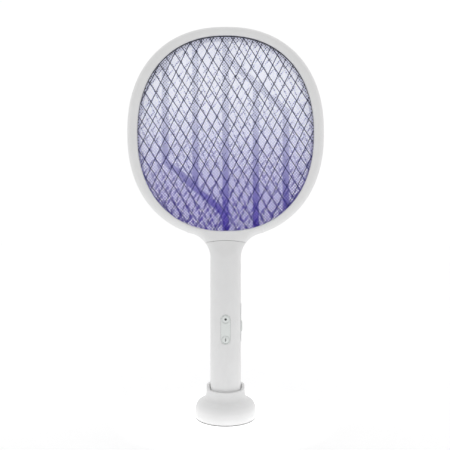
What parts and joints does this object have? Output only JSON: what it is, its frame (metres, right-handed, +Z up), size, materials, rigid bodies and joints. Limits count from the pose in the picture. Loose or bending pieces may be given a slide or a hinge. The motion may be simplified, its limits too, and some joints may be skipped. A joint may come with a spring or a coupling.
{
  "type": "electric fly swatter",
  "caption": "Handheld mosquito-zapping racket with mesh electrodes and an ultraviolet lure lamp, upright in its charging dock.",
  "frame": {"origin": "centre of the dock's underside, on the surface it stands on", "axes": "+Z up along the handle, front with the keys faces -Y, +X is the viewer's right from the front"},
  "size_m": [0.226, 0.0703, 0.447],
  "materials": {
    "white_abs": "moulded ABS, satin",
    "net_steel": "blackened steel wire",
    "grid_steel": "fine wire grid, lit violet from below",
    "black_nylon": "moulded nylon",
    "clear_window": "clear acrylic lamp window",
    "led_package": "ultraviolet LED package",
    "circuit_board": "green solder mask",
    "key_plastic": "fine matt ABS",
    "switch_grey": "matt ABS",
    "screw_steel": "zinc-plated steel",
    "contact_brass": "plated brass",
    "battery_wrap": "heat-shrink sleeve",
    "component_black": "moulded component body",
    "red_lead": "PVC insulation",
    "dark_lead": "PVC insulation",
    "ballast_iron": "plain cast iron",
    "foot_rubber": "matt rubber"
  },
  "bodies": {
    "dock": {"dock_body": "white_abs", "dock_bottom_plate": "white_abs", "dock_foot_pad": "foot_rubber", "dock_weight": "ballast_iron", "dock_circuit_board": "circuit_board", "dock_usb_socket": "screw_steel", "dock_screw_1": "screw_steel", "dock_screw_2": "screw_steel", "dock_screw_3": "screw_steel"},
    "racket": {"front_head_shell": "white_abs", "rear_head_shell": "white_abs", "front_guard_net": "net_steel", "hv_grid": "grid_steel", "rear_guard_net": "net_steel", "front_net_spacer": "black_nylon", "rear_net_spacer": "black_nylon", "lamp_window": "clear_window", "uv_led_board": "circuit_board", "uv_led_1": "led_package", "uv_led_2": "led_package", "uv_led_3": "led_package", "head_screw_1": "screw_steel", "head_screw_2": "screw_steel", "head_screw_3": "screw_steel", "head_screw_4": "screw_steel", "head_screw_5": "screw_steel", "head_screw_6": "screw_steel", "handle_front_shell": "white_abs", "handle_rear_shell": "white_abs", "handle_screw_1": "screw_steel", "handle_screw_2": "screw_steel", "handle_screw_3": "screw_steel", "handle_screw_4": "screw_steel", "neck_coupler": "black_nylon", "key_panel": "key_plastic", "mode_tact_switch": "component_black", "zap_tact_switch": "component_black", "switch_plate": "switch_grey", "switch_body": "component_black", "main_circuit_board": "circuit_board", "step_up_transformer": "component_black", "storage_capacitor": "battery_wrap", "battery_cell": "battery_wrap", "grid_lead": "red_lead", "net_lead": "dark_lead", "lamp_lead": "dark_lead", "handle_end_cap": "white_abs", "charge_contact_left": "contact_brass", "charge_contact_right": "contact_brass"},
    "mode_key": {"mode_key": "key_plastic"},
    "zap_key": {"zap_key": "key_plastic"},
    "switch_knob": {"switch_knob": "key_plastic"},
    "dock_pin_left": {"dock_pin_left": "contact_brass"},
    "dock_pin_right": {"dock_pin_right": "contact_brass"}
  },
  "joints": [
    {"name": "racket_lift", "type": "slide", "parent": "dock", "child": "racket", "axis": [0, 0, 1], "range_m": [0, 0.06]},
    {"name": "mode_key_press", "type": "slide", "parent": "racket", "child": "mode_key", "axis": [0, 1, 0], "range_m": [0, 0.0008], "stiffness_N_per_m": 600},
    {"name": "zap_key_press", "type": "slide", "parent": "racket", "child": "zap_key", "axis": [0, 1, 0], "range_m": [0, 0.0008], "stiffness_N_per_m": 600},
    {"name": "mode_switch_slide", "type": "slide", "parent": "racket", "child": "switch_knob", "axis": [0, 0, 1], "range_m": [0, 0.008]},
    {"name": "dock_pin_left_press", "type": "slide", "parent": "dock", "child": "dock_pin_left", "axis": [0, 0, -1], "range_m": [0, 0.0008], "stiffness_N_per_m": 300},
    {"name": "dock_pin_right_press", "type": "slide", "parent": "dock", "child": "dock_pin_right", "axis": [0, 0, -1], "range_m": [0, 0.0008], "stiffness_N_per_m": 300}
  ]
}
